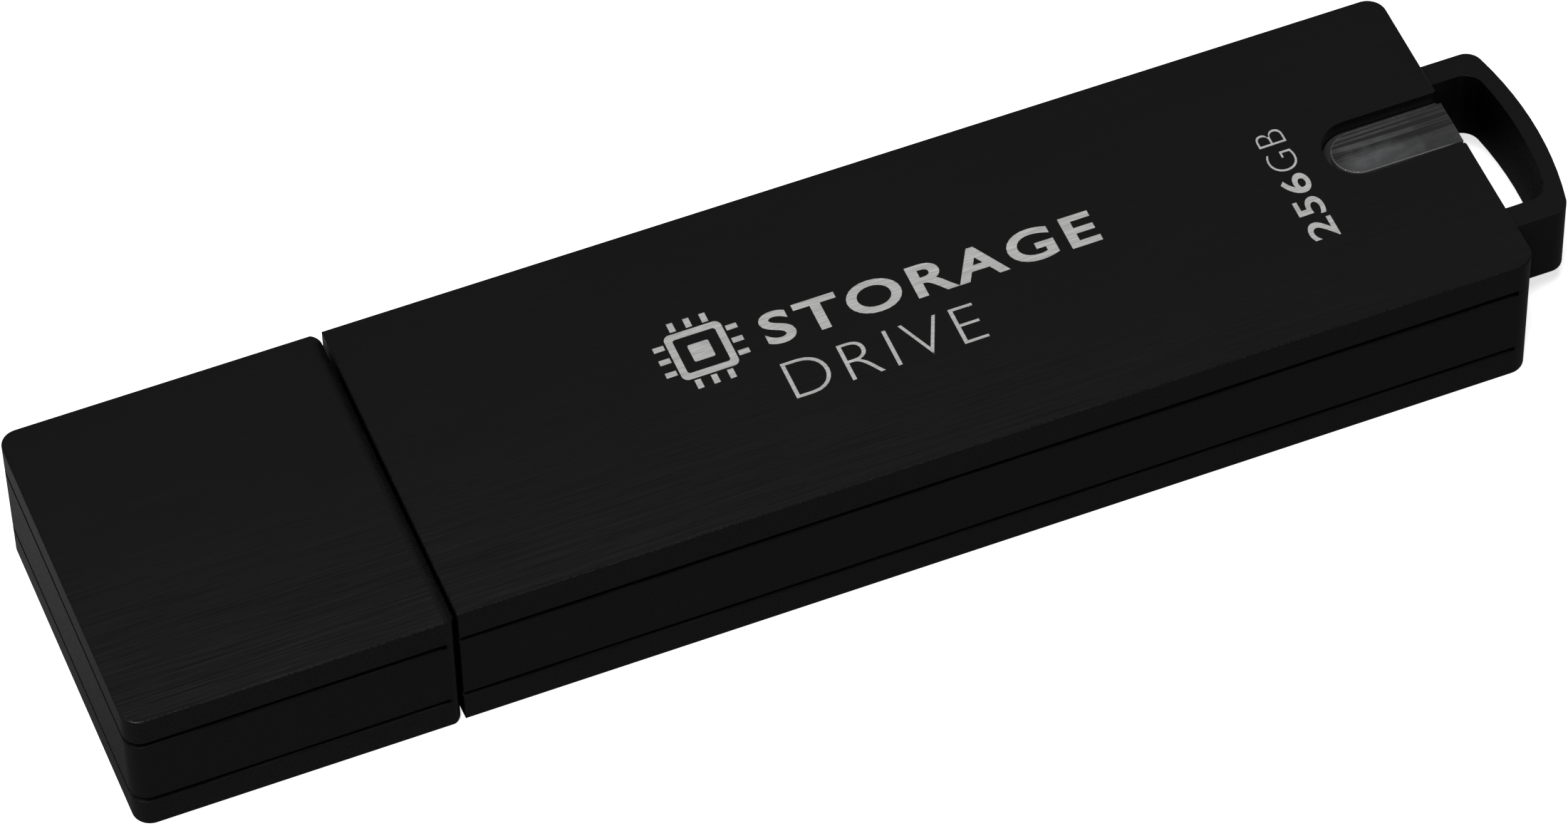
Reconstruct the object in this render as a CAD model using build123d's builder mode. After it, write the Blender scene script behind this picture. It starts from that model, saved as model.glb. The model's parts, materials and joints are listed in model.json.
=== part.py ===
from build123d import *
import os

os.makedirs("parts", exist_ok=True)

# A capped USB flash drive lying flat on its underside. Millimetres.
# +X runs from the cap's closed end to the lanyard loop, +Z is up, and the origin is the
# centre of the footprint, on the underside.

# ------------------------------------------------------------------ driving dimensions

# Overall size
overall_length = 77.9
cap_length = 16.64
cap_width = 19.25
cap_height = 8.08
body_width = 19.02
body_height = 8.26
cap_gap = 0.15  # shadow gap between the cap's mouth and the body
loop_reach = 4.38  # lanyard loop behind the body's rear face

# Layers: a lower plate, a middle frame and an upper plate, with a groove at each joint line
lower_split = 1.94
upper_split = 6.25
groove_width = 0.32
groove_depth = 0.6
body_groove_stop = 0.95  # the body's grooves end short of the rear corners
cap_groove_stop = 0.55  # the cap's grooves end where its mouth starts to round off

# Edges
rear_corner = 1.0
cap_corner = 0.95
mouth_corner = 0.5
underside_round = 0.12
edge_break = 0.06
mouth_bevel_length = 0.55
mouth_bevel_depth = 0.25

# Walls of the body
side_wall = 1.3
rear_wall = 1.5
floor_thickness = 1.0
roof_thickness = 1.0

# Lanyard loop, part of the middle frame
loop_half_width = 5.73
loop_eye_half_width = 4.4
loop_tip_bar = 0.9
loop_arc_radius = 20.0
loop_corner = 0.9
loop_underside = 2.03
loop_top = 6.43
loop_eye_corner = 1.0

# Indicator slot in the upper plate, the holder sunk in it, and the light pipe in the holder
slot_width = 3.6
slot_length = 6.89
slot_y = 0.7
slot_rear_corner = 0.15
holder_clearance = 0.03
holder_recess = 0.8
pipe_width = 2.7
pipe_recess = 0.4
pipe_proud = 0.08
pipe_wall = 0.6
pipe_roof = 0.5
pipe_block = 1.8  # solid stretch at the pipe's rear end

# USB Type-A plug, to the standard's sizes
plug_width = 12.0
plug_height = 4.5
plug_reach = 12.0
plug_wall = 0.3
plug_corner = 0.6
plug_tail = 1.8  # shell behind the collar
plug_z = 4.1
plug_window_length = 2.2
plug_window_width = 2.3
plug_window_from_tip = 5.2
plug_window_spacing = 5.8
tongue_thickness = 1.9
tongue_width = 10.6
tongue_setback = 0.35

# Neck: the plastic collar that holds the plug and enters the cap
neck_length = 1.4
neck_width = 15.9
neck_height = 5.5
neck_corner = 0.8
collar_depth = 2.5
seal_front = 0.35
seal_length = 0.7
seal_clearance = 0.07

# Plug contacts: four front pads, then five sprung fingers
pad_size = (5.4, 1.1, 0.12)
pad_centre_from_tip = 4.2
pad_places = (-3.5, -1.0, 1.0, 3.5)
finger_length = 2.0
finger_width = 0.7
finger_crest = 0.3
finger_foot = 0.1
finger_from_tip = 8.2
finger_places = (-4.0, -2.0, 0.0, 2.0, 4.0)

# Circuit board
board_thickness = 0.8
board_top = 4.1
board_width = 15.8
board_corner = 0.5
board_clearance = 0.4
ledge_width = 0.8
ledge_thickness = 0.5
carrier_length = 4.5
carrier_chamfer = 0.8

# Packages on the board: length, width, height, and where they sit
controller_size = (9.0, 9.0, 0.9)
controller_place = (-7.0, 0.0)
memory_size = (16.0, 12.0, 1.0)
memory_place = (9.0, 0.0)
pad_margin = 1.0  # thermal pad inside the memory package's outline
crystal_size = (3.2, 2.5, 0.8)
crystal_place = (21.5, -4.8)
crystal_corner = 0.4
regulator_size = (3.0, 3.0, 0.9)
regulator_place = (21.5, 4.5)
capacitor_size = (1.0, 0.5, 0.5)
capacitor_pitch = 2.2
capacitor_row_spacing = 12.0
capacitors_per_row = 4
led_size = (1.6, 0.8, 0.6)

# Perimeter gaskets between the layers
gasket_width = 0.4
gasket_thickness = 0.2
gasket_inset = 0.8  # from the outside wall to the gasket's outer edge

# Cap
cap_end_wall = 1.3
cap_side_wall = 1.35
cap_cavity_height = 6.1
liner_setback = 1.6  # liner face behind the cap's mouth
plug_clearance = 0.05
cap_end_clearance = 0.5  # beyond the plug's tip
stop_pad_size = (0.3, 10.0, 3.0)
spring_thickness = 0.2
spring_width = 3.0
spring_length = 7.0

# ------------------------------------------------------------------ stations along X

cap_end = -overall_length / 2
cap_mouth = cap_end + cap_length
body_front = cap_mouth + cap_gap
loop_tip = overall_length / 2
body_rear = loop_tip - loop_reach
body_length = body_rear - body_front
cavity_rear = body_rear - rear_wall
neck_front = body_front - neck_length
collar_rear = body_front + collar_depth
plug_tip = neck_front - plug_reach
plug_rear = collar_rear + plug_tail
slot_front = body_rear - slot_length
cap_cavity_end = cap_end + cap_end_wall
liner_front = cap_mouth - liner_setback

# Heights
cavity_top = body_height - roof_thickness
board_underside = board_top - board_thickness
holder_top = body_height - holder_recess
pipe_top = body_height - pipe_recess
plug_inner_height = plug_height - 2 * plug_wall
tongue_underside = plug_z - plug_inner_height / 2
tongue_top = tongue_underside + tongue_thickness
cap_cavity_low = plug_z - cap_cavity_height / 2
cap_cavity_high = plug_z + cap_cavity_height / 2
cavity_half_width = body_width / 2 - side_wall
cap_cavity_half_width = cap_width / 2 - cap_side_wall

# Box alignments: standing on its location, or hanging under it
standing = (Align.CENTER, Align.CENTER, Align.MIN)
hanging = (Align.CENTER, Align.CENTER, Align.MAX)

# ------------------------------------------------------------------ shared shapes


def block(x, y, z, mode=Mode.ADD):
    """A box in the current part, from its (low, high) limits along each axis."""
    with Locations(((x[0] + x[1]) / 2, (y[0] + y[1]) / 2, (z[0] + z[1]) / 2)):
        Box(x[1] - x[0], y[1] - y[0], z[1] - z[0], mode=mode)


def plan(square_x, round_x, width, corner):
    """A plan face that is square at square_x and has rounded corners at round_x."""
    side = 1 if round_x > square_x else -1
    with BuildSketch() as face:
        with BuildLine():
            near = Line((square_x, -width / 2), (round_x - side * corner, -width / 2))
            near_arc = JernArc(near @ 1, near % 1, corner, 90 * side)
            end = Line(near_arc @ 1, (round_x, width / 2 - corner))
            far_arc = JernArc(end @ 1, end % 1, corner, 90 * side)
            far = Line(far_arc @ 1, (square_x, width / 2))
            Line(far @ 1, near @ 0)
        make_face()
    return face.sketch


def loop_plan(half_width, tip_x, corner):
    """A D-shaped plan face from the body's rear wall out to a shallow arc."""
    sagitta = loop_arc_radius - (loop_arc_radius**2 - half_width**2) ** 0.5
    shoulder_x = tip_x - sagitta
    with BuildSketch() as face:
        with BuildLine():
            Polyline(
                (shoulder_x, half_width),
                (body_rear, half_width),
                (body_rear, -half_width),
                (shoulder_x, -half_width),
            )
            ThreePointArc((shoulder_x, -half_width), (tip_x, 0), (shoulder_x, half_width))
        make_face()
        fillet(face.vertices().group_by(Axis.X)[-1], corner)
    return face.sketch


def slot_plan(front_x, rear_x, width):
    """A plan face on the slot's centre line, round at front_x and square at rear_x."""
    with BuildSketch() as face:
        with Locations((front_x + width / 2, slot_y)):
            Circle(width / 2)
            Rectangle(
                rear_x - front_x - width / 2,
                width,
                align=(Align.MIN, Align.CENTER),
            )
    return face.sketch


def side_grooves(z_low, z_high):
    """Cut the body's groove along both long sides of the current part."""
    for side in (-1, 1):
        outside = side * body_width / 2
        inside = outside - side * groove_depth
        block(
            (body_front, body_rear - body_groove_stop),
            (min(inside, outside), max(inside, outside)),
            (z_low, z_high),
            mode=Mode.SUBTRACT,
        )


def cap_plan():
    """The cap's outline: rounded at its closed end, with smaller rounds at its mouth."""
    with BuildSketch() as face:
        add(plan(cap_mouth, cap_end, cap_width, cap_corner))
        fillet(face.vertices().group_by(Axis.X)[-1], mouth_corner)
    return face.sketch


def cap_mouth_bevel(rim_z, foot_z):
    """Cut the bevel along one edge of the cap's mouth in the current part, across its width."""
    with BuildSketch(Plane.XZ) as wedge:
        with BuildLine():
            Polyline(
                (cap_mouth - mouth_bevel_length, rim_z),
                (cap_mouth, rim_z),
                (cap_mouth, foot_z),
                close=True,
            )
        make_face()
    extrude(wedge.sketch, amount=cap_width / 2, both=True, mode=Mode.SUBTRACT)


def cap_groove(z_low, z_high):
    """Cut the cap's groove round its sides and closed end in the current part."""
    groove_front = cap_mouth - cap_groove_stop
    outer = plan(groove_front, cap_end, cap_width, cap_corner)
    inner = plan(
        groove_front,
        cap_end + groove_depth,
        cap_width - 2 * groove_depth,
        cap_corner - groove_depth,
    )
    with BuildSketch(Plane.XY.offset(z_low)) as ring:
        add(outer)
        add(inner, mode=Mode.SUBTRACT)
    extrude(ring.sketch, amount=z_high - z_low, mode=Mode.SUBTRACT)


def gasket_plan():
    """The U-shaped track of a perimeter gasket, open at the front for the collar."""
    outer_width = body_width - 2 * gasket_inset
    outer_rear = body_rear - gasket_inset
    with BuildSketch() as track:
        add(plan(collar_rear, outer_rear, outer_width, gasket_inset))
        add(
            plan(
                collar_rear,
                outer_rear - gasket_width,
                outer_width - 2 * gasket_width,
                gasket_inset - gasket_width,
            ),
            mode=Mode.SUBTRACT,
        )
    return track.sketch


# ------------------------------------------------------------------ body shell

# Upper plate: roof and skirt, open at the front for the collar, slotted for the light pipe
with BuildPart() as top_cover:
    with BuildSketch(Plane.XY.offset(upper_split)):
        add(plan(body_front, body_rear, body_width, rear_corner))
    extrude(amount=body_height - upper_split)
    chamfer(top_cover.faces().sort_by(Axis.Z)[-1].edges(), edge_break)
    block(
        (body_front, cavity_rear),
        (-cavity_half_width, cavity_half_width),
        (upper_split, cavity_top),
        mode=Mode.SUBTRACT,
    )
    with BuildSketch(Plane.XY.offset(upper_split)):
        add(slot_plan(slot_front, body_rear, slot_width))
    extrude(amount=body_height - upper_split, mode=Mode.SUBTRACT)
    slot_ends = (
        top_cover.edges()
        .filter_by(Axis.Z)
        .filter_by_position(Axis.X, body_rear - edge_break, body_rear + edge_break)
        .filter_by_position(Axis.Y, slot_y - slot_width, slot_y + slot_width)
    )
    fillet(slot_ends, slot_rear_corner)
    side_grooves(upper_split, upper_split + groove_width / 2)
top_cover.part.label = "top_cover"
export_step(top_cover.part, "parts/top_cover.step")

# Lower plate: floor and skirt
with BuildPart() as bottom_cover:
    with BuildSketch():
        add(plan(body_front, body_rear, body_width, rear_corner))
    extrude(amount=lower_split)
    fillet(bottom_cover.faces().sort_by(Axis.Z)[0].edges(), underside_round)
    block(
        (body_front, cavity_rear),
        (-cavity_half_width, cavity_half_width),
        (floor_thickness, lower_split),
        mode=Mode.SUBTRACT,
    )
    side_grooves(lower_split - groove_width / 2, lower_split)
bottom_cover.part.label = "bottom_cover"
export_step(bottom_cover.part, "parts/bottom_cover.step")

# Middle frame: two side rails with board ledges, a rear wall and the lanyard loop
with BuildPart() as mid_frame:
    with BuildSketch(Plane.XY.offset(lower_split)):
        add(plan(body_front, body_rear, body_width, rear_corner))
    extrude(amount=upper_split - lower_split)
    block(
        (body_front, cavity_rear),
        (-cavity_half_width, cavity_half_width),
        (lower_split, upper_split),
        mode=Mode.SUBTRACT,
    )
    with BuildSketch(Plane.XY.offset(loop_underside)):
        add(loop_plan(loop_half_width, loop_tip, loop_corner))
        add(
            loop_plan(loop_eye_half_width, loop_tip - loop_tip_bar, loop_eye_corner),
            mode=Mode.SUBTRACT,
        )
    extrude(amount=loop_top - loop_underside)
    for side in (-1, 1):
        wall = side * cavity_half_width
        lip = wall - side * ledge_width
        block(
            (plug_rear, cavity_rear),
            (min(wall, lip), max(wall, lip)),
            (board_underside - ledge_thickness, board_underside),
        )
    side_grooves(lower_split, lower_split + groove_width / 2)
    side_grooves(upper_split - groove_width / 2, upper_split)
    for channel_floor in (lower_split, upper_split - gasket_thickness):
        with BuildSketch(Plane.XY.offset(channel_floor)):
            add(gasket_plan())
        extrude(amount=gasket_thickness, mode=Mode.SUBTRACT)
mid_frame.part.label = "mid_frame"
export_step(mid_frame.part, "parts/mid_frame.step")

# Gaskets, one in each channel of the middle frame
with BuildPart() as bottom_gasket:
    with BuildSketch(Plane.XY.offset(lower_split)):
        add(gasket_plan())
    extrude(amount=gasket_thickness)
bottom_gasket.part.label = "bottom_gasket"
export_step(bottom_gasket.part, "parts/bottom_gasket.step")

with BuildPart() as top_gasket:
    with BuildSketch(Plane.XY.offset(upper_split - gasket_thickness)):
        add(gasket_plan())
    extrude(amount=gasket_thickness)
top_gasket.part.label = "top_gasket"
export_step(top_gasket.part, "parts/top_gasket.step")

# Pipe holder: an opaque insert sunk in the slot, with the light pipe's opening through it
pipe_gap = (slot_width - pipe_width) / 2
pipe_front = slot_front + pipe_gap
pipe_rear = body_rear + pipe_proud
with BuildPart() as pipe_holder:
    holder_front = slot_front + holder_clearance
    with BuildSketch(Plane.XY.offset(upper_split)):
        add(slot_plan(holder_front, body_rear, slot_width - 2 * holder_clearance))
        add(slot_plan(pipe_front, body_rear, pipe_width), mode=Mode.SUBTRACT)
    extrude(amount=holder_top - upper_split)
pipe_holder.part.label = "pipe_holder"
export_step(pipe_holder.part, "parts/pipe_holder.step")

# Light pipe: a clear bar, round at the front, hollowed from below over the indicator
with BuildPart() as light_pipe:
    with BuildSketch(Plane.XY.offset(upper_split)):
        add(slot_plan(pipe_front, pipe_rear, pipe_width))
    extrude(amount=pipe_top - upper_split)
    with BuildSketch(Plane.XY.offset(upper_split)):
        add(
            slot_plan(
                pipe_front + pipe_wall,
                pipe_rear - pipe_block,
                pipe_width - 2 * pipe_wall,
            )
        )
    extrude(amount=pipe_top - pipe_roof - upper_split, mode=Mode.SUBTRACT)
light_pipe.part.label = "light_pipe"
export_step(light_pipe.part, "parts/light_pipe.step")

# ------------------------------------------------------------------ neck and plug

# Neck collar: a plug of plastic between the plates, with a smaller nose that enters the cap
with BuildPart() as neck_collar:
    block(
        (body_front, collar_rear),
        (-cavity_half_width, cavity_half_width),
        (floor_thickness, cavity_top),
    )
    with BuildSketch(Plane.YZ.offset(neck_front)):
        with Locations((0, plug_z)):
            RectangleRounded(neck_width, neck_height, neck_corner)
    extrude(amount=neck_length)
    with BuildSketch(Plane.YZ.offset(neck_front)):
        with Locations((0, plug_z)):
            RectangleRounded(plug_width, plug_height, plug_corner)
    extrude(amount=collar_rear - neck_front, mode=Mode.SUBTRACT)
neck_collar.part.label = "neck_collar"
export_step(neck_collar.part, "parts/neck_collar.step")

# Neck seal: a rubber band round the collar's nose that closes the cap against dust and water
with BuildPart() as neck_seal:
    seal_height = cap_cavity_height - 2 * seal_clearance
    seal_width = 2 * (cap_cavity_half_width - seal_clearance)
    with BuildSketch(Plane.YZ.offset(neck_front + seal_front)):
        with Locations((0, plug_z)):
            RectangleRounded(seal_width, seal_height, neck_corner)
            RectangleRounded(neck_width, neck_height, neck_corner, mode=Mode.SUBTRACT)
    extrude(amount=seal_length)
neck_seal.part.label = "neck_seal"
export_step(neck_seal.part, "parts/neck_seal.step")

# Plug shell: a folded steel tube with a pair of latch windows above and below
with BuildPart() as usb_shell:
    with BuildSketch(Plane.YZ.offset(plug_tip)):
        with Locations((0, plug_z)):
            RectangleRounded(plug_width, plug_height, plug_corner)
            RectangleRounded(
                plug_width - 2 * plug_wall,
                plug_inner_height,
                plug_corner - plug_wall,
                mode=Mode.SUBTRACT,
            )
    extrude(amount=plug_rear - plug_tip)
    with BuildSketch(Plane.XY.offset(plug_z - plug_height / 2)):
        with Locations((plug_tip + plug_window_from_tip, 0)):
            with GridLocations(plug_window_length, plug_window_spacing, 1, 2):
                Rectangle(plug_window_length, plug_window_width)
    extrude(amount=plug_height, mode=Mode.SUBTRACT)
usb_shell.part.label = "usb_shell"
export_step(usb_shell.part, "parts/usb_shell.step")

# Tongue: the insulator along the floor of the plug
with BuildPart() as usb_tongue:
    block(
        (plug_tip + tongue_setback, plug_rear),
        (-tongue_width / 2, tongue_width / 2),
        (tongue_underside, tongue_top),
    )
usb_tongue.part.label = "usb_tongue"
export_step(usb_tongue.part, "parts/usb_tongue.step")

# Front contacts: four flat pads, the outer two for power
with BuildPart() as front_contacts:
    with Locations([(plug_tip + pad_centre_from_tip, y, tongue_top) for y in pad_places]):
        Box(*pad_size, align=standing)
front_contacts.part.label = "front_contacts"
export_step(front_contacts.part, "parts/front_contacts.step")

# Rear contacts: sprung fingers behind the pads, each bowed up to a rounded crest
finger_toe = plug_tip + finger_from_tip
finger_heel = finger_toe + finger_length
with BuildPart() as rear_contacts:
    with BuildSketch(*[Plane.XZ.offset(y) for y in finger_places]):
        with BuildLine():
            Polyline(
                (finger_toe, tongue_top + finger_foot),
                (finger_toe, tongue_top),
                (finger_heel, tongue_top),
                (finger_heel, tongue_top + finger_foot),
            )
            ThreePointArc(
                (finger_heel, tongue_top + finger_foot),
                ((finger_toe + finger_heel) / 2, tongue_top + finger_crest),
                (finger_toe, tongue_top + finger_foot),
            )
        make_face()
    extrude(amount=finger_width / 2, both=True)
rear_contacts.part.label = "rear_contacts"
export_step(rear_contacts.part, "parts/rear_contacts.step")

# Plug carrier: the block that ties the plug's tail to the board
with BuildPart() as plug_carrier:
    block(
        (plug_rear, plug_rear + carrier_length),
        (-plug_width / 2, plug_width / 2),
        (board_top, plug_z + plug_height / 2),
    )
    rear_top_edge = plug_carrier.edges().filter_by(Axis.Y).group_by(Axis.Z)[-1].sort_by(Axis.X)[-1]
    chamfer(rear_top_edge, carrier_chamfer)
plug_carrier.part.label = "plug_carrier"
export_step(plug_carrier.part, "parts/plug_carrier.step")

# ------------------------------------------------------------------ circuit board

board_front = plug_rear + board_clearance
board_rear = cavity_rear - board_clearance
with BuildPart() as circuit_board:
    block(
        (board_front, board_rear),
        (-board_width / 2, board_width / 2),
        (board_underside, board_top),
    )
    fillet(circuit_board.edges().filter_by(Axis.Z), board_corner)
circuit_board.part.label = "circuit_board"
export_step(circuit_board.part, "parts/circuit_board.step")

# Controller: a square package
with BuildPart() as controller_chip:
    with Locations((*controller_place, board_top)):
        Box(*controller_size, align=standing)
controller_chip.part.label = "controller_chip"
export_step(controller_chip.part, "parts/controller_chip.step")

# Memory packages, one on each side of the board
with BuildPart() as memory_chip_top:
    with Locations((*memory_place, board_top)):
        Box(*memory_size, align=standing)
memory_chip_top.part.label = "memory_chip_top"
export_step(memory_chip_top.part, "parts/memory_chip_top.step")

with BuildPart() as memory_chip_bottom:
    with Locations((*memory_place, board_underside)):
        Box(*memory_size, align=hanging)
memory_chip_bottom.part.label = "memory_chip_bottom"
export_step(memory_chip_bottom.part, "parts/memory_chip_bottom.step")

# Thermal pads carry heat from each memory package to the plate beside it
pad_length = memory_size[0] - 2 * pad_margin
pad_width = memory_size[1] - 2 * pad_margin
memory_top = board_top + memory_size[2]
memory_underside = board_underside - memory_size[2]
with BuildPart() as thermal_pad_top:
    with Locations((*memory_place, memory_top)):
        Box(pad_length, pad_width, cavity_top - memory_top, align=standing)
thermal_pad_top.part.label = "thermal_pad_top"
export_step(thermal_pad_top.part, "parts/thermal_pad_top.step")

with BuildPart() as thermal_pad_bottom:
    with Locations((*memory_place, memory_underside)):
        Box(pad_length, pad_width, memory_underside - floor_thickness, align=hanging)
thermal_pad_bottom.part.label = "thermal_pad_bottom"
export_step(thermal_pad_bottom.part, "parts/thermal_pad_bottom.step")

# Clock crystal in its metal can
with BuildPart() as crystal_can:
    with Locations((*crystal_place, board_top)):
        Box(*crystal_size, align=standing)
    fillet(crystal_can.edges().filter_by(Axis.Z), crystal_corner)
crystal_can.part.label = "crystal_can"
export_step(crystal_can.part, "parts/crystal_can.step")

# Voltage regulator
with BuildPart() as voltage_regulator:
    with Locations((*regulator_place, board_top)):
        Box(*regulator_size, align=standing)
voltage_regulator.part.label = "voltage_regulator"
export_step(voltage_regulator.part, "parts/voltage_regulator.step")

# Decoupling capacitors in two rows beside the controller
with BuildPart() as capacitors:
    with Locations((*controller_place, board_top)):
        with GridLocations(capacitor_pitch, capacitor_row_spacing, capacitors_per_row, 2):
            Box(*capacitor_size, align=standing)
capacitors.part.label = "capacitors"
export_step(capacitors.part, "parts/capacitors.step")

# Indicator: the light source under the hollow of the light pipe
with BuildPart() as indicator_led:
    with Locations(((pipe_front + pipe_rear - pipe_block) / 2, slot_y, board_top)):
        Box(*led_size, align=standing)
indicator_led.part.label = "indicator_led"
export_step(indicator_led.part, "parts/indicator_led.step")

# ------------------------------------------------------------------ cap

# Upper plate of the cap
with BuildPart() as cap_top_plate:
    with BuildSketch(Plane.XY.offset(upper_split)):
        add(cap_plan())
    extrude(amount=cap_height - upper_split)
    chamfer(cap_top_plate.faces().sort_by(Axis.Z)[-1].edges(), edge_break)
    cap_mouth_bevel(cap_height, cap_height - mouth_bevel_depth)
    block(
        (cap_cavity_end, cap_mouth),
        (-cap_cavity_half_width, cap_cavity_half_width),
        (upper_split, cap_cavity_high),
        mode=Mode.SUBTRACT,
    )
    cap_groove(upper_split, upper_split + groove_width / 2)
cap_top_plate.part.label = "cap_top_plate"
export_step(cap_top_plate.part, "parts/cap_top_plate.step")

# Lower plate of the cap
with BuildPart() as cap_bottom_plate:
    with BuildSketch():
        add(cap_plan())
    extrude(amount=lower_split)
    fillet(cap_bottom_plate.faces().sort_by(Axis.Z)[0].edges(), underside_round)
    cap_mouth_bevel(0, mouth_bevel_depth)
    block(
        (cap_cavity_end, cap_mouth),
        (-cap_cavity_half_width, cap_cavity_half_width),
        (cap_cavity_low, lower_split),
        mode=Mode.SUBTRACT,
    )
    cap_groove(lower_split - groove_width / 2, lower_split)
cap_bottom_plate.part.label = "cap_bottom_plate"
export_step(cap_bottom_plate.part, "parts/cap_bottom_plate.step")

# Middle frame of the cap: a U-shaped rail, closed at the cap's end
with BuildPart() as cap_frame:
    with BuildSketch(Plane.XY.offset(lower_split)):
        add(cap_plan())
    extrude(amount=upper_split - lower_split)
    block(
        (cap_cavity_end, cap_mouth),
        (-cap_cavity_half_width, cap_cavity_half_width),
        (lower_split, upper_split),
        mode=Mode.SUBTRACT,
    )
    cap_groove(lower_split, lower_split + groove_width / 2)
    cap_groove(upper_split - groove_width / 2, upper_split)
cap_frame.part.label = "cap_frame"
export_step(cap_frame.part, "parts/cap_frame.step")

# Cap liner: a plastic core with the socket that the plug slides into
socket_end = plug_tip - cap_end_clearance
socket_half_width = plug_width / 2 + plug_clearance
socket_half_height = plug_height / 2 + plug_clearance
spring_pocket_depth = spring_thickness + plug_clearance
spring_x = (socket_end + liner_front) / 2
with BuildPart() as cap_liner:
    block(
        (cap_cavity_end, liner_front),
        (-cap_cavity_half_width, cap_cavity_half_width),
        (cap_cavity_low, cap_cavity_high),
    )
    block(
        (socket_end, liner_front),
        (-socket_half_width, socket_half_width),
        (plug_z - socket_half_height, plug_z + socket_half_height),
        mode=Mode.SUBTRACT,
    )
    for side in (-1, 1):
        face_z = plug_z + side * socket_half_height
        pocket_z = face_z + side * spring_pocket_depth
        block(
            (spring_x - spring_length / 2, spring_x + spring_length / 2),
            (-spring_width / 2, spring_width / 2),
            (min(face_z, pocket_z), max(face_z, pocket_z)),
            mode=Mode.SUBTRACT,
        )
cap_liner.part.label = "cap_liner"
export_step(cap_liner.part, "parts/cap_liner.step")

# Grip springs: steel strips in the liner's pockets, above and below the plug
with BuildPart() as cap_grip_springs:
    for side in (-1, 1):
        outer_z = plug_z + side * (socket_half_height + spring_pocket_depth)
        inner_z = outer_z - side * spring_thickness
        block(
            (spring_x - spring_length / 2, spring_x + spring_length / 2),
            (-spring_width / 2, spring_width / 2),
            (min(inner_z, outer_z), max(inner_z, outer_z)),
        )
cap_grip_springs.part.label = "cap_grip_springs"
export_step(cap_grip_springs.part, "parts/cap_grip_springs.step")

# Stop pad: a soft pad at the blind end of the socket
with BuildPart() as cap_stop_pad:
    block(
        (socket_end, socket_end + stop_pad_size[0]),
        (-stop_pad_size[1] / 2, stop_pad_size[1] / 2),
        (plug_z - stop_pad_size[2] / 2, plug_z + stop_pad_size[2] / 2),
    )
cap_stop_pad.part.label = "cap_stop_pad"
export_step(cap_stop_pad.part, "parts/cap_stop_pad.step")
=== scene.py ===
import json
import math

import bmesh
import bpy
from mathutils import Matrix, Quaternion, Vector


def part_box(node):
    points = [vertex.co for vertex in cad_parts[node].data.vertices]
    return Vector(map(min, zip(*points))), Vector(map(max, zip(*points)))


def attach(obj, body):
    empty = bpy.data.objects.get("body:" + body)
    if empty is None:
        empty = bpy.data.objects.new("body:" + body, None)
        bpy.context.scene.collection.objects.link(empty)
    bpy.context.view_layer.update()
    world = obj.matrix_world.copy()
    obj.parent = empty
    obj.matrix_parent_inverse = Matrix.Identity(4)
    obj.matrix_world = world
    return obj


# A capped USB flash drive in black brushed metal, on a pale floor.
# Metres, in the frame of the CAD model: +X from the cap's closed end to the lanyard loop, +Z up.

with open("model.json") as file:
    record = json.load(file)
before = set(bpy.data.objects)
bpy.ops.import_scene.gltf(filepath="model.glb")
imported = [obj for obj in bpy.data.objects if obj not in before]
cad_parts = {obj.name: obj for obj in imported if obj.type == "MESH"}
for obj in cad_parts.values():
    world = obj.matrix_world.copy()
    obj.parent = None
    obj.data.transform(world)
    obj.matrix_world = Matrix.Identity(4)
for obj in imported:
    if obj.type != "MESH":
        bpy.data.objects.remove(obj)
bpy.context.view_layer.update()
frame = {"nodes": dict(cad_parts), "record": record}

MM = 0.001
BLACK = (0.0, 0.0, 0.0)
WHITE = (1.0, 1.0, 1.0)

# ------------------------------------------------------------------ sizes and places

# Markings on the upper face, in millimetres
mark_thickness = 0.012
emblem_centre = (-5.45, 1.15)
emblem_size = 4.4
bold_line_corner = (-2.26, 0.05)
bold_line_size = (17.7, 2.1)
thin_line_corner = (-2.26, -3.48)
thin_line_size = (10.15, 2.33)
legend_baseline_x = 26.4
legend_height = 1.5
legend_digits_y = (-4.15, 0.3)
legend_unit_y = (0.62, 3.38)

# Weight of the strokes, and spacing between the letters
bold_line_strokes = (0.024, 1.16)
thin_line_strokes = (-0.021, 1.1)
digit_strokes = (0.015, 1.08)
unit_strokes = (-0.022, 1.1)

# Markings as first drawn, before they are fitted to the sizes above
raw_extrusion = 0.01
weld_distance = 1e-6

# Every material: the radius to which its edges look rounded
edge_softening = 0.03

# Brushed metal: feature sizes along X, Y and Z, and the stretches over which its look changes
fine_brushing = (2.6, 0.045, 0.045)
short_brushing = (6.0, 0.1, 0.1)
handling_marks = (9.0, 4.0, 4.0)
blasted_grain = (0.1, 0.1, 0.1)
near_to_far_y = (-9.0, 9.0)
cap_to_loop_x = (-35.0, 30.0)
brushing_depth = 0.008
brushed_roughness = (0.25, 0.36)
worn_and_highlit_width = 0.1
# Worn edges: the black worn off in a broken band, painted lighter so that it also stands as an edge
# highlight
worn_edge_highlight = (0.02, 0.02, 0.021)
worn_shine = 0.3

# Lens: the dark lines, painted shade and painted rim highlight in it, and the places where its
# painted milky brightness rises or falls
lens_cloud = (0.9, 0.5, 0.8)
lens_line = (9.0, 0.12, 0.5)
lens_painted_shade = (0.018, 0.018, 0.018)
lens_milk = (0.108, 0.11, 0.113)
lens_rim_highlight = (0.4, 0.4, 0.4)
lens_rim_highlight_width = 0.12
lens_tip_x = (28.0, 29.1)
lens_thinning_x = (30.2, 32.4)
lens_step_x = (32.6, 32.8)
lens_end_x = (33.6, 34.2)
lens_near_y = (-0.8, -0.2)
lens_far_y = (0.3, 1.6)
lens_lines_y = (0.2, 1.1)
lens_rim_highlight_y = (-0.5, 1.6)

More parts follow.
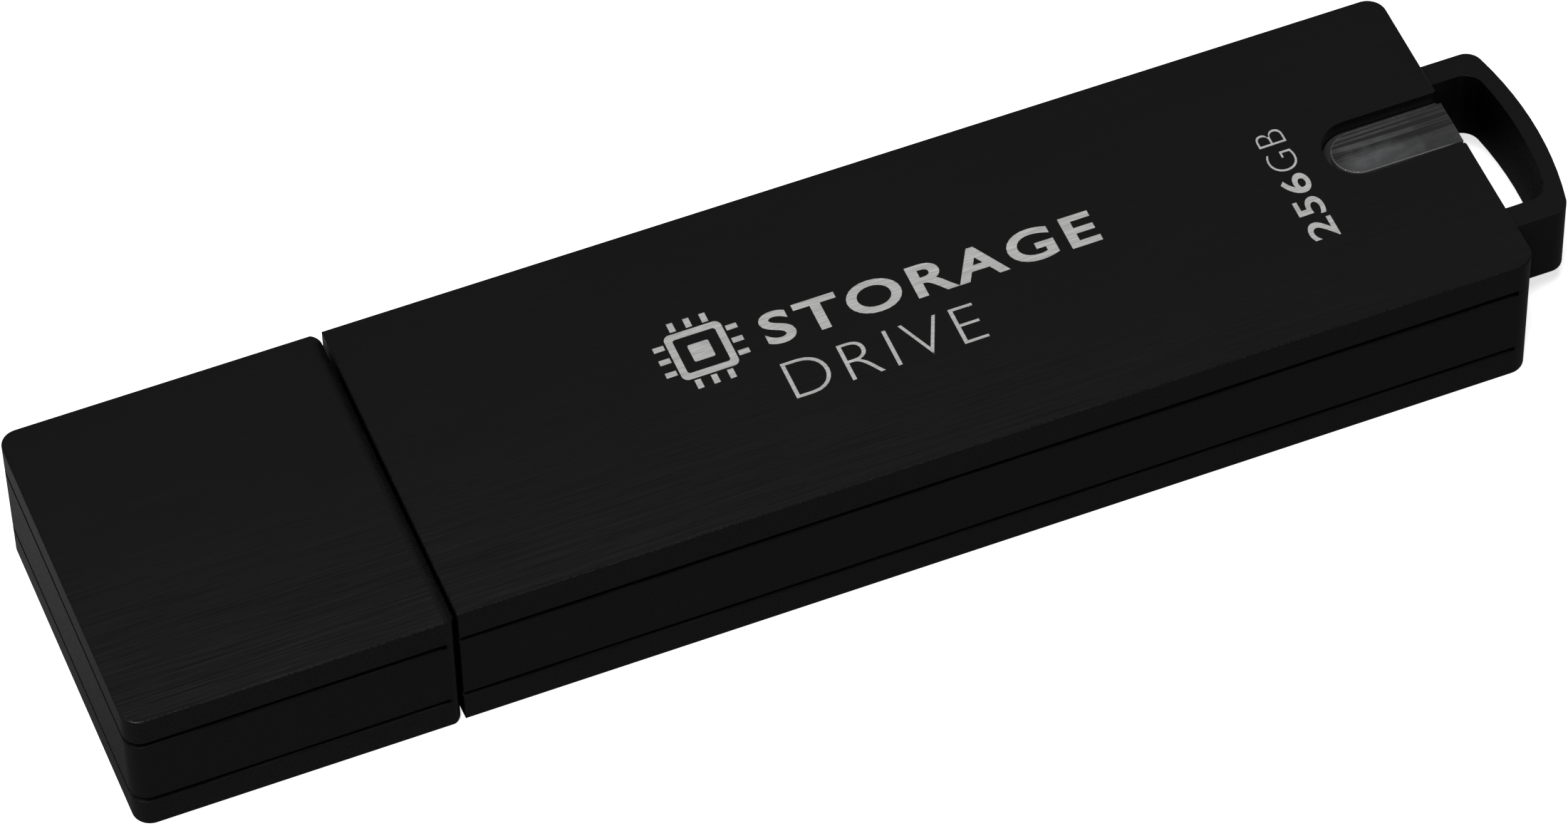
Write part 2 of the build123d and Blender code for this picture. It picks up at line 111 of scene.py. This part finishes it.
# Camera: it looks down by its elevation, and its azimuth is measured as a light's is
camera_aim = Vector((-2.015, -0.915, 4.13)) * MM
camera_distance = 408.35 * MM
camera_azimuth = 20.6
camera_elevation = 50.98
camera_roll = -1.69
camera_lens = 190.72
camera_sensor = 36.0
camera_clip_share = 0.01  # of the distance

# Studio: the key stands high at the front left, where no broad face mirrors it into a camera
key_light = {"azimuth": 45, "elevation": 65, "strength": 3.65, "spread": 24}
room_front = 0.03
room_back = 0.11
room_turn = (-0.8, 0.6)  # headings along Y between which the room brightens
floor_radius = 3.0  # metres
floor_sides = 96
floor_glow = 0.72
floor_tone = (0.78, 0.82)
floor_mottle = (60.0, 60.0, 60.0)
mirrored_floor_near = 0.056
mirrored_floor_far = 0.125
mirrored_floor_y = (-6.0, 14.0)

# ------------------------------------------------------------------ node graphs


class Graph:
    """Builds the node graph of one material or world. Feature sizes are in millimetres."""

    def __init__(self, owner):
        owner.use_nodes = True
        self.owner = owner
        self.tree = owner.node_tree
        self.tree.nodes.clear()
        self.place = self.node("ShaderNodeTexCoord").outputs["Object"]
        self.true_normal = self.node("ShaderNodeNewGeometry").outputs["True Normal"]

    def node(self, kind, inputs=None, **settings):
        made = self.tree.nodes.new(kind)
        for key, value in settings.items():
            setattr(made, key, value)
        for key, value in (inputs or {}).items():
            if isinstance(value, bpy.types.NodeSocket):
                self.tree.links.new(value, made.inputs[key])
            else:
                made.inputs[key].default_value = value
        return made

    def noise(self, size, detail, roughness):
        """Noise with features of about size along X, Y and Z, centred on 0.5."""
        scale = tuple(1 / (length * MM) for length in size)
        point = self.node("ShaderNodeVectorMath", {0: self.place, 1: scale}, operation="MULTIPLY")
        inputs = {
            "Vector": point.outputs[0],
            "Scale": 1.0,
            "Detail": detail,
            "Roughness": roughness,
        }
        return self.node("ShaderNodeTexNoise", inputs).outputs[0]

    def math(self, operation, a, b=0.0):
        return self.node("ShaderNodeMath", {0: a, 1: b}, operation=operation).outputs[0]

    def span(self, value, low, high, source=(0.3, 0.7)):
        """Carries value from the source range to low..high, and holds it there."""
        inputs = {
            "Value": value,
            "From Min": source[0],
            "From Max": source[1],
            "To Min": low,
            "To Max": high,
        }
        return self.node("ShaderNodeMapRange", inputs).outputs[0]

    def blend(self, share, a, b):
        """The colour a where share is 0 and b where it is 1."""
        made = self.node("ShaderNodeMix", {0: share}, data_type="RGBA")
        for index, value in ((6, a), (7, b)):
            if isinstance(value, bpy.types.NodeSocket):
                self.tree.links.new(value, made.inputs[index])
            else:
                made.inputs[index].default_value = (*value, 1.0)
        return made.outputs[2]

    def tint(self, colour, share):
        """The colour scaled by share."""
        scaled = self.node("ShaderNodeVectorMath", {0: colour, "Scale": share}, operation="SCALE")
        return scaled.outputs[0]

    def facing(self, axis):
        """1 on faces square to the axis, 0 on the others."""
        parts = self.node("ShaderNodeSeparateXYZ", {0: self.true_normal})
        return self.span(self.math("ABSOLUTE", parts.outputs[axis]), 0.0, 1.0, (0.9, 0.98))

    def along(self, axis, low, high, source):
        """Goes from low to high over the source range of one coordinate, in millimetres."""
        parts = self.node("ShaderNodeSeparateXYZ", {0: self.place})
        return self.span(parts.outputs[axis], low, high, tuple(end * MM for end in source))

    def openness(self, reach, closed, clear, own_walls=False):
        """How much sky is in view within reach: 0 at the closed share of it, 1 at the clear share.

        With own_walls, only the piece's own walls stand in the way.
        """
        inputs = {"Distance": reach * MM}
        made = self.node("ShaderNodeAmbientOcclusion", inputs, samples=8, only_local=own_walls)
        return self.span(made.outputs["AO"], 0.0, 1.0, (closed, clear))

    def edges(self, radius):
        """1 on sharp edges, 0 on flat ground."""
        soft = self.node("ShaderNodeBevel", {"Radius": radius * MM}, samples=6).outputs[0]
        inputs = {0: soft, 1: self.true_normal}
        dot = self.node("ShaderNodeVectorMath", inputs, operation="DOT_PRODUCT")
        return self.span(dot.outputs["Value"], 0.0, 1.0, (0.995, 0.9))

    def bump(self, height, depth):
        """A normal raised by height, which is depth tall, over slightly rounded edges."""
        soft = self.node("ShaderNodeBevel", {"Radius": edge_softening * MM}, samples=6).outputs[0]
        inputs = {"Height": height, "Distance": depth * MM, "Strength": 1.0, "Normal": soft}
        return self.node("ShaderNodeBump", inputs).outputs[0]

    def surface(self, inputs):
        shader = self.node("ShaderNodeBsdfPrincipled", inputs)
        self.node("ShaderNodeOutputMaterial", {"Surface": shader.outputs[0]})
        return self.owner


def new_finish(name):
    """The empty node graph of a new material."""
    return Graph(bpy.data.materials.new(name))


# ------------------------------------------------------------------ materials


def brushed_black(name, tone, streak_gain, shaded_crevices):
    """Black anodised metal, brushed along X on its broad faces and satin on its sides.

    Each shaded crevice holds the arguments of Graph.openness. Shade is painted into the metal's
    colour and shine in all of them.
    """
    graph = new_finish(name)
    broad = graph.facing(2)
    painted_shade_factor = 1.0
    for crevice in shaded_crevices:
        painted_shade_factor = graph.math("MULTIPLY", graph.openness(**crevice), painted_shade_factor)
    fine = graph.noise(fine_brushing, 2.0, 0.6)
    short = graph.noise(short_brushing, 2.0, 0.55)
    cloud = graph.noise(handling_marks, 2.0, 0.5)
    grain = graph.noise(blasted_grain, 2.0, 0.5)

    # The brushing contrast is painted strongest near the camera and at the cap, as a painted sheen,
    # and is barely there at the far side
    across = graph.along(1, 1.0, 0.0, near_to_far_y)
    painted_near_light = graph.math("MULTIPLY", across, graph.along(0, 1.0, 0.5, cap_to_loop_x))
    brushed = graph.math("SUBTRACT", graph.math("ADD", fine, short), 1.0)
    brushed = graph.math("MULTIPLY", brushed, graph.span(painted_near_light, 0.12, 0.8, (0.45, 1.0)))
    brushed = graph.math("ADD", brushed, 0.5)
    streak = graph.node("ShaderNodeMix", {0: broad, 2: grain, 3: brushed}).outputs[0]

    # A faint cold cast, painted lighter near the camera, with a little of the black worn off the
    # edges, which are also painted lighter as an edge highlight
    dark = tuple(tone * (1 - streak_gain) * c for c in (0.99, 0.99, 1.01))
    light = tuple(tone * (1 + streak_gain) * c for c in (0.99, 1.0, 1.01))
    colour = graph.blend(graph.span(streak, 0.0, 1.0), dark, light)
    colour = graph.tint(colour, graph.span(painted_near_light, 0.75, 1.6, (0.0, 1.0)))
    edge = graph.edges(worn_and_highlit_width)
    dulled = graph.span(edge, 1.0, worn_shine, (0.0, 1.0))
    # Wear and painted highlight: a broken band along the edges is lightened
    worn_and_highlit = graph.math("MULTIPLY", edge, graph.span(short, 0.0, 0.2, (0.5, 0.6)))
    colour = graph.blend(worn_and_highlit, colour, worn_edge_highlight)
    # Painted shade: the colour darkens in the grooves and in the lanyard eye, where little sky is
    # in view
    colour = graph.tint(colour, painted_shade_factor)

    # Satin, with less of a shine along the edges, and painted shade dimming the shine in the
    # crevices
    satin = graph.span(streak, *brushed_roughness)
    rough = graph.math("ADD", satin, graph.span(cloud, -0.012, 0.012))
    gloss = graph.math("MULTIPLY", graph.span(painted_shade_factor, 0.05, 0.5, (0.0, 1.0)), dulled)
    depth = graph.math("MULTIPLY", streak, graph.span(broad, 0.12, 1.0, (0.0, 1.0)))
    return graph.surface(
        {
            "Base Color": colour,
            "Roughness": rough,
            "IOR": 1.5,
            "Specular IOR Level": gloss,
            "Normal": graph.bump(depth, brushing_depth),
        }
    )


def anodised_black():
    # Painted shade in the grooves between the plates
    groove_shade = {"reach": 0.4, "closed": 0.4, "clear": 0.65}
    return brushed_black("anodised_black", tone=0.0031, streak_gain=0.6, shaded_crevices=[groove_shade])


def frame_black():
    # Painted shade in the grooves and inside the lanyard eye
    groove_shade = {"reach": 0.4, "closed": 0.55, "clear": 0.8}
    lanyard_eye_shade = {"reach": 4.0, "closed": 0.5, "clear": 0.9, "own_walls": True}
    shaded_crevices = [groove_shade, lanyard_eye_shade]
    return brushed_black("frame_black", tone=0.0028, streak_gain=0.3, shaded_crevices=shaded_crevices)


moulded_finishes = {
    "plastic_black": {
        "dark": (0.01, 0.01, 0.01),
        "light": (0.018, 0.018, 0.018),
        "roughness": (0.42, 0.6),
        "grain_size": 0.12,
        "depth": 0.006,
    },
    "rubber_black": {
        "dark": (0.008, 0.008, 0.008),
        "light": (0.016, 0.016, 0.016),
        "roughness": (0.7, 0.88),
        "grain_size": 0.08,
        "depth": 0.008,
    },
    "insulator_blue": {
        "dark": (0.006, 0.06, 0.3),
        "light": (0.01, 0.09, 0.4),
        "roughness": (0.35, 0.5),
        "grain_size": 0.15,
        "depth": 0.004,
    },
    "package_black": {
        "dark": (0.012, 0.012, 0.012),
        "light": (0.022, 0.022, 0.022),
        "roughness": (0.5, 0.7),
        "grain_size": 0.06,
        "depth": 0.006,
    },
    "ceramic_tan": {
        "dark": (0.32, 0.2, 0.1),
        "light": (0.48, 0.33, 0.19),
        "roughness": (0.25, 0.4),
        "grain_size": 0.1,
        "depth": 0.003,
    },
    "led_white": {
        "dark": (0.7, 0.7, 0.6),
        "light": (0.85, 0.85, 0.78),
        "roughness": (0.25, 0.4),
        "grain_size": 0.2,
        "depth": 0.002,
    },
    "thermal_grey": {
        "dark": (0.25, 0.27, 0.3),
        "light": (0.36, 0.38, 0.42),
        "roughness": (0.7, 0.9),
        "grain_size": 0.1,
        "depth": 0.01,
    },
}

metal_finishes = {
    "plug_steel": {
        "dark": (0.52, 0.51, 0.5),
        "light": (0.68, 0.67, 0.65),
        "roughness": (0.2, 0.34),
        "grain_size": (2.5, 0.08, 0.08),
        "depth": 0.003,
    },
    "contact_gold": {
        "dark": (0.78, 0.52, 0.16),
        "light": (0.9, 0.66, 0.28),
        "roughness": (0.18, 0.3),
        "grain_size": (1.0, 0.06, 0.06),
        "depth": 0.002,
    },
    "spring_steel": {
        "dark": (0.4, 0.4, 0.4),
        "light": (0.55, 0.55, 0.56),
        "roughness": (0.26, 0.4),
        "grain_size": (1.5, 0.07, 0.07),
        "depth": 0.003,
    },
    "can_metal": {
        "dark": (0.6, 0.58, 0.52),
        "light": (0.72, 0.7, 0.64),
        "roughness": (0.22, 0.36),
        "grain_size": (0.3, 0.3, 0.3),
        "depth": 0.003,
    },
}


def moulded(name, dark, light, roughness, grain_size, depth):
    """A moulded surface: fine grain, faint mottling, and a painted highlight lightening its edges.
    """
    graph = new_finish(name)
    grain = graph.noise((grain_size,) * 3, 3.0, 0.6)
    mottle = graph.noise((3.0, 3.0, 3.0), 2.0, 0.5)
    colour = graph.blend(graph.span(mottle, 0.0, 1.0), dark, light)
    # Painted highlight: the colour is lightened along the edges
    colour = graph.blend(graph.math("MULTIPLY", graph.edges(0.08), 0.3), colour, light)
    low, high = roughness
    return graph.surface(
        {
            "Base Color": colour,
            "Roughness": graph.span(grain, low, high),
            "Normal": graph.bump(grain, depth),
        }
    )


def metal(name, dark, light, roughness, grain_size, depth):
    """Bare or plated metal with a rolled or brushed grain, and a painted highlight lightening its
    edges.
    """
    graph = new_finish(name)
    grain = graph.noise(grain_size, 4.0, 0.6)
    stain = graph.noise((2.5, 2.5, 2.5), 3.0, 0.5)
    colour = graph.blend(graph.span(stain, 0.0, 1.0), dark, light)
    # Painted highlight: the colour is lightened towards near white along the edges
    colour = graph.blend(graph.math("MULTIPLY", graph.edges(0.06), 0.5), colour, (0.9, 0.9, 0.88))
    low, high = roughness
    return graph.surface(
        {
            "Base Color": colour,
            "Metallic": 0.8,
            "Roughness": graph.span(grain, low, high),
            "Normal": graph.bump(grain, depth),
        }
    )


def board_green():
    """Solder mask over copper: routed tracks show as a faint relief under the gloss."""
    graph = new_finish("board_green")
    weave = graph.noise((0.4, 0.4, 0.4), 2.0, 0.5)
    scale = (1 / (1.1 * MM),) * 3
    point = graph.node("ShaderNodeVectorMath", {0: graph.place, 1: scale}, operation="MULTIPLY")
    cells = graph.node(
        "ShaderNodeTexVoronoi",
        {"Vector": point.outputs[0], "Scale": 1.0},
        distance="CHEBYCHEV",
        feature="DISTANCE_TO_EDGE",
    )
    track = graph.span(cells.outputs["Distance"], 1.0, 0.0, (0.05, 0.09))
    colour = graph.blend(track, (0.008, 0.07, 0.022), (0.016, 0.13, 0.04))
    return graph.surface(
        {
            "Base Color": colour,
            "Roughness": graph.span(weave, 0.2, 0.32),
            "Normal": graph.bump(track, 0.02),
        }
    )


def clear_plastic():
    """Clear plastic, painted lightest near the blind end of the slot and darkened by painted shade
    elsewhere, with dark lines on its far half and a painted highlight along its rim.
    """
    graph = new_finish("clear_plastic")
    haze = graph.noise(lens_cloud, 2.0, 0.5)
    drawn = graph.noise(lens_line, 1.0, 0.5)
    lines = graph.span(drawn, 0.0, 0.75, (0.47, 0.56))
    lines = graph.math("MULTIPLY", lines, graph.along(1, 0.0, 1.0, lens_lines_y))
    milk_and_shade = graph.span(haze, 0.65, 1.0, (0.35, 0.65))
    # Painted shade: the milky colour darkens at the very tip, at the near edge, towards the far
    # side, and twice towards the rear
    for fade in (
        graph.along(0, 0.35, 1.0, lens_tip_x),
        graph.along(0, 1.0, 0.6, lens_thinning_x),
        graph.along(0, 1.0, 0.6, lens_step_x),
        graph.along(1, 1.0, 0.55, lens_far_y),
        graph.along(1, 0.6, 1.0, lens_near_y),
    ):
        milk_and_shade = graph.math("MULTIPLY", milk_and_shade, fade)
    milk_and_shade = graph.math("SUBTRACT", milk_and_shade, lines)
    colour = graph.blend(milk_and_shade, lens_painted_shade, lens_milk)
    # Painted highlight: a pale line along the rim, fading towards the far side and the end
    rim_highlight = graph.edges(lens_rim_highlight_width)
    rim_highlight = graph.math("MULTIPLY", rim_highlight, graph.along(1, 1.0, 0.25, lens_rim_highlight_y))
    rim_highlight = graph.math("MULTIPLY", rim_highlight, graph.along(0, 1.0, 0.1, lens_end_x))
    colour = graph.blend(rim_highlight, colour, lens_rim_highlight)
    return graph.surface(
        {
            "Base Color": colour,
            "Roughness": graph.span(haze, 0.12, 0.2),
            "IOR": 1.58,
            "Transmission Weight": graph.span(rim_highlight, 0.3, 0.6, (0.0, 1.0)),
            "Coat Weight": 0.6,
            "Normal": graph.bump(graph.math("ADD", haze, drawn), 0.03),
        }
    )


def etched_silver():
    """Metal laid bare by a laser: pale, with the brushing showing through."""
    graph = new_finish("etched_silver")
    streak = graph.noise((1.2, 0.05, 0.05), 4.0, 0.65)
    colour = graph.blend(graph.span(streak, 0.0, 1.0), (0.31, 0.31, 0.305), (0.54, 0.54, 0.53))
    return graph.surface(
        {
            "Base Color": colour,
            "Metallic": 0.15,
            "Roughness": graph.span(streak, 0.42, 0.6),
            "Normal": graph.bump(streak, 0.01),
        }
    )


def dress_frame():
    """Gives every CAD node the finish that its material slot names."""
    finishes = {
        "anodised_black": anodised_black(),
        "frame_black": frame_black(),
        "board_green": board_green(),
        "clear_plastic": clear_plastic(),
    }
    for name, look in moulded_finishes.items():
        finishes[name] = moulded(name, **look)
    for name, look in metal_finishes.items():
        finishes[name] = metal(name, **look)
    for part in frame["record"]["subparts"]:
        node = frame["nodes"][part["node"]]
        node.data.materials.clear()
        node.data.materials.append(finishes[part["material_slot"]])


# ------------------------------------------------------------------ markings


def link(name, data):
    """A new object in the scene, holding a mesh, curve, light or camera."""
    made = bpy.data.objects.new(name, data)
    bpy.context.scene.collection.objects.link(made)
    return made


def filled_mesh(curve):
    """The mesh of a filled curve or text, with the curve itself thrown away."""
    holder = link("holder", curve)
    graph = bpy.context.evaluated_depsgraph_get()
    mesh = bpy.data.meshes.new_from_object(holder.evaluated_get(graph))
    bpy.data.objects.remove(holder)
    work = bmesh.new()
    work.from_mesh(mesh)
    bmesh.ops.remove_doubles(work, verts=work.verts, dist=weld_distance)
    bmesh.ops.recalc_face_normals(work, faces=work.faces)
    work.to_mesh(mesh)
    work.free()
    return mesh


def fit(mesh, across, up):
    """Stretches a flat mesh to fill (low, high) across and (low, high) up, in millimetres."""
    points = [vertex.co.copy() for vertex in mesh.vertices]
    for axis, (low, high) in enumerate((across, up)):
        start = min(point[axis] for point in points)
        stretch = (high - low) * MM / (max(point[axis] for point in points) - start)
        for vertex, point in zip(mesh.vertices, points):
            vertex.co[axis] = low * MM + (point[axis] - start) * stretch
    bottom = min(point.z for point in points)
    thick = max(point.z for point in points) - bottom
    for vertex, point in zip(mesh.vertices, points):
        vertex.co.z = (point.z - bottom) / thick * mark_thickness * MM
    return mesh


def lettering(words, weight, spacing):
    """Lettering one unit high. Weight fattens the strokes, or thins them below zero."""
    curve = bpy.data.curves.new("lettering", "FONT")
    curve.body = words
    curve.offset = weight
    curve.space_character = spacing
    curve.extrude = raw_extrusion
    curve.resolution_u = 6
    return filled_mesh(curve)


def lay_mark(name, mesh, finish, quarter_turn=False):
    """Lays a marking on the upper face, riding with the body."""
    if quarter_turn:
        for vertex in mesh.vertices:
            x, y, z = vertex.co
            vertex.co = (-y, x, z)
    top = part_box("top_cover")[1].z
    for vertex in mesh.vertices:
        vertex.co.z += top
    mesh.materials.clear()
    mesh.materials.append(finish)
    piece = link(name, mesh)
    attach(piece, "drive")


def square_spline(curve, half, corner):
    """Adds a closed square outline with rounded corners to a flat curve, in millimetres."""
    steps = 6  # along each corner
    points = []
    for turn in range(4):
        middle = math.radians(45 + 90 * turn)
        centre = Vector((math.copysign(1, math.cos(middle)), math.copysign(1, math.sin(middle))))
        centre *= half - corner
        for step in range(steps + 1):
            angle = math.radians(90 * turn + 90 * step / steps)
            points.append(centre + corner * Vector((math.cos(angle), math.sin(angle))))
    spline = curve.splines.new("POLY")
    spline.points.add(len(points) - 1)
    for slot, point in zip(spline.points, points):
        slot.co = (point.x, point.y, 0, 1)
    spline.use_cyclic_u = True


def box_spline(curve, x, y):
    """Adds a closed rectangle to a flat curve, from its (low, high) limits in millimetres."""
    spline = curve.splines.new("POLY")
    spline.points.add(3)
    corners = ((x[0], y[0]), (x[1], y[0]), (x[1], y[1]), (x[0], y[1]))
    for slot, corner in zip(spline.points, corners):
        slot.co = (*corner, 0, 1)
    spline.use_cyclic_u = True


def chip_emblem():
    """A plain pictogram of a memory chip: a square package with three pins on each side."""
    curve = bpy.data.curves.new("chip", "CURVE")
    curve.dimensions = "2D"
    curve.fill_mode = "BOTH"
    curve.extrude = raw_extrusion
    outer, wall, core = 1.5, 0.38, 0.55
    pin_gap, pin_end, pin_half = 0.12, 2.2, 0.16
    square_spline(curve, outer, 0.35)
    square_spline(curve, outer - wall, 0.15)
    square_spline(curve, core, 0.1)
    for place in (-0.85, 0.0, 0.85):
        for side in (-1, 1):
            reach = sorted((side * (outer + pin_gap), side * pin_end))
            width = (place - pin_half, place + pin_half)
            box_spline(curve, reach, width)
            box_spline(curve, width, reach)
    return filled_mesh(curve)


def lay_markings():
    finish = etched_silver()
    half = emblem_size / 2
    x, y = emblem_centre
    emblem = fit(chip_emblem(), (x - half, x + half), (y - half, y + half))
    lay_mark("mark_chip", emblem, finish)
    lines = (
        ("mark_bold_line", "STORAGE", bold_line_strokes, bold_line_corner, bold_line_size),
        ("mark_thin_line", "DRIVE", thin_line_strokes, thin_line_corner, thin_line_size),
    )
    for name, words, strokes, corner, size in lines:
        across = (corner[0], corner[0] + size[0])
        up = (corner[1], corner[1] + size[1])
        lay_mark(name, fit(lettering(words, *strokes), across, up), finish)
    up = (-legend_baseline_x, -legend_baseline_x + legend_height)
    digits = fit(lettering("256", *digit_strokes), legend_digits_y, up)
    lay_mark("mark_capacity_digits", digits, finish, quarter_turn=True)
    unit = fit(lettering("GB", *unit_strokes), legend_unit_y, up)
    lay_mark("mark_capacity_unit", unit, finish, quarter_turn=True)


# ------------------------------------------------------------------ studio


def set_world():
    """White to the camera. What the drive reflects is a dim room, darkest behind the camera."""
    world = bpy.data.worlds.new("studio")
    bpy.context.scene.world = world
    graph = Graph(world)
    direction = graph.node("ShaderNodeTexCoord").outputs["Generated"]
    back = graph.node("ShaderNodeSeparateXYZ", {0: direction}).outputs["Y"]
    dim = graph.span(back, room_front, room_back, room_turn)
    room = graph.node("ShaderNodeBackground", {"Color": (*WHITE, 1), "Strength": dim})
    white = graph.node("ShaderNodeBackground", {"Color": (*WHITE, 1), "Strength": 1.0})
    seen = graph.node("ShaderNodeLightPath").outputs["Is Camera Ray"]
    mix = graph.node("ShaderNodeMixShader", {0: seen, 1: room.outputs[0], 2: white.outputs[0]})
    graph.node("ShaderNodeOutputWorld", {"Surface": mix.outputs[0]})


def lay_floor():
    """A floor that is pale to the camera and dark in everything that the drive reflects."""
    work = bmesh.new()
    bmesh.ops.create_circle(work, cap_ends=True, segments=floor_sides, radius=floor_radius)
    mesh = bpy.data.meshes.new("floor")
    work.to_mesh(mesh)
    work.free()
    graph = new_finish("floor_pale")
    seen = graph.node("ShaderNodeLightPath").outputs["Is Camera Ray"]
    level = graph.along(1, mirrored_floor_near, mirrored_floor_far, mirrored_floor_y)
    mirrored = graph.blend(level, BLACK, WHITE)
    mottle = graph.span(graph.noise(floor_mottle, 2.0, 0.5), *floor_tone)
    pale = graph.blend(mottle, BLACK, WHITE)
    mesh.materials.append(
        graph.surface(
            {
                "Base Color": graph.blend(seen, mirrored, pale),
                "Roughness": 1.0,
                "Specular IOR Level": 0.0,
                "Emission Color": (*WHITE, 1),
                "Emission Strength": graph.math("MULTIPLY", seen, floor_glow),
            }
        )
    )
    link("floor", mesh)


def heading(azimuth, elevation):
    """A downward direction. Azimuth 0 points along +Y, away from the near side, and 90 along +X."""
    a, e = math.radians(azimuth), math.radians(elevation)
    return Vector((math.sin(a) * math.cos(e), math.cos(a) * math.cos(e), -math.sin(e)))


def add_sun(name, azimuth, elevation, strength, spread):
    """A soft distant light, with the width of its disc as its spread."""
    data = bpy.data.lights.new(name, "SUN")
    data.energy = strength
    data.angle = math.radians(spread)
    sun = link(name, data)
    sun.rotation_mode = "QUATERNION"
    sun.rotation_quaternion = heading(azimuth, elevation).to_track_quat("-Z", "Y")


def set_camera():
    data = bpy.data.cameras.new("camera")
    data.lens = camera_lens
    data.sensor_width = camera_sensor
    data.clip_start = camera_distance * camera_clip_share
    camera = link("camera", data)
    sight = heading(camera_azimuth, camera_elevation)
    camera.location = camera_aim - sight * camera_distance
    camera.rotation_mode = "QUATERNION"
    tilt = Quaternion((0, 0, 1), math.radians(camera_roll))
    camera.rotation_quaternion = sight.to_track_quat("-Z", "Y") @ tilt
    bpy.context.scene.camera = camera


# ------------------------------------------------------------------ scene

dress_frame()
lay_markings()
lay_floor()
set_world()
add_sun("key", **key_light)
set_camera()
bpy.context.scene.view_settings.view_transform = "Standard"
